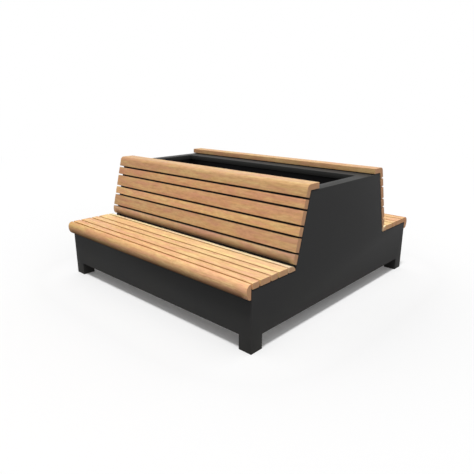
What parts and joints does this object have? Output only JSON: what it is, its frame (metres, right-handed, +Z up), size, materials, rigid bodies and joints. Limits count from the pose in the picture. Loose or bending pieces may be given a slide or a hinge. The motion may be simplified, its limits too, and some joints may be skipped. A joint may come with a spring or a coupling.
{
  "type": "bench with planter",
  "caption": "Back-to-back slatted timber park bench on a dark sheet-steel body with corner legs and an open planter trough between the backrests.",
  "frame": {"origin": "on the ground, in the middle of the footprint", "axes": "+X along the seats towards the right end panel, +Y from the front bench to the rear bench, +Z up"},
  "size_m": [2.004, 2.114, 0.9476],
  "materials": {
    "timber": "planed timber slats with eased edges, clear oil, honey to pinkish tan from slat to slat",
    "body_panel": "fine matt powder coat, charcoal grey",
    "planter_rim": "fine matt powder coat, charcoal grey, seen lighter from above",
    "planter_liner": "black protective coat, matt",
    "inner_steel": "dark primer coat, matt"
  },
  "bodies": {
    "root": {"front_nose_slat": "timber", "front_seat_slat_1": "timber", "front_seat_slat_2": "timber", "front_seat_slat_3": "timber", "front_seat_slat_4": "timber", "front_seat_rear_slat": "timber", "front_back_bottom_slat": "timber", "front_back_slat_1": "timber", "front_back_slat_2": "timber", "front_back_slat_3": "timber", "front_back_slat_4": "timber", "front_back_cap": "timber", "front_slat_carrier_1": "inner_steel", "front_slat_carrier_2": "inner_steel", "front_slat_carrier_3": "inner_steel", "front_slat_carrier_4": "inner_steel", "front_fascia": "body_panel", "front_back_sheet": "inner_steel", "front_rib_1": "inner_steel", "front_rib_2": "inner_steel", "rear_nose_slat": "timber", "rear_seat_slat_1": "timber", "rear_seat_slat_2": "timber", "rear_seat_slat_3": "timber", "rear_seat_slat_4": "timber", "rear_seat_rear_slat": "timber", "rear_back_bottom_slat": "timber", "rear_back_slat_1": "timber", "rear_back_slat_2": "timber", "rear_back_slat_3": "timber", "rear_back_slat_4": "timber", "rear_back_cap": "timber", "rear_slat_carrier_1": "inner_steel", "rear_slat_carrier_2": "inner_steel", "rear_slat_carrier_3": "inner_steel", "rear_slat_carrier_4": "inner_steel", "rear_fascia": "body_panel", "rear_back_sheet": "inner_steel", "rear_rib_1": "inner_steel", "rear_rib_2": "inner_steel", "left_end_panel": "body_panel", "left_liner_bearer": "inner_steel", "left_liner_ledge": "inner_steel", "front_left_leg_angle": "body_panel", "front_left_foot_plate": "body_panel", "rear_left_leg_angle": "body_panel", "rear_left_foot_plate": "body_panel", "right_end_panel": "body_panel", "right_liner_bearer": "inner_steel", "right_liner_ledge": "inner_steel", "front_right_leg_angle": "body_panel", "front_right_foot_plate": "body_panel", "rear_right_leg_angle": "body_panel", "rear_right_foot_plate": "body_panel", "planter_rim": "planter_rim", "planter_liner": "planter_liner"}
  },
  "joints": []
}
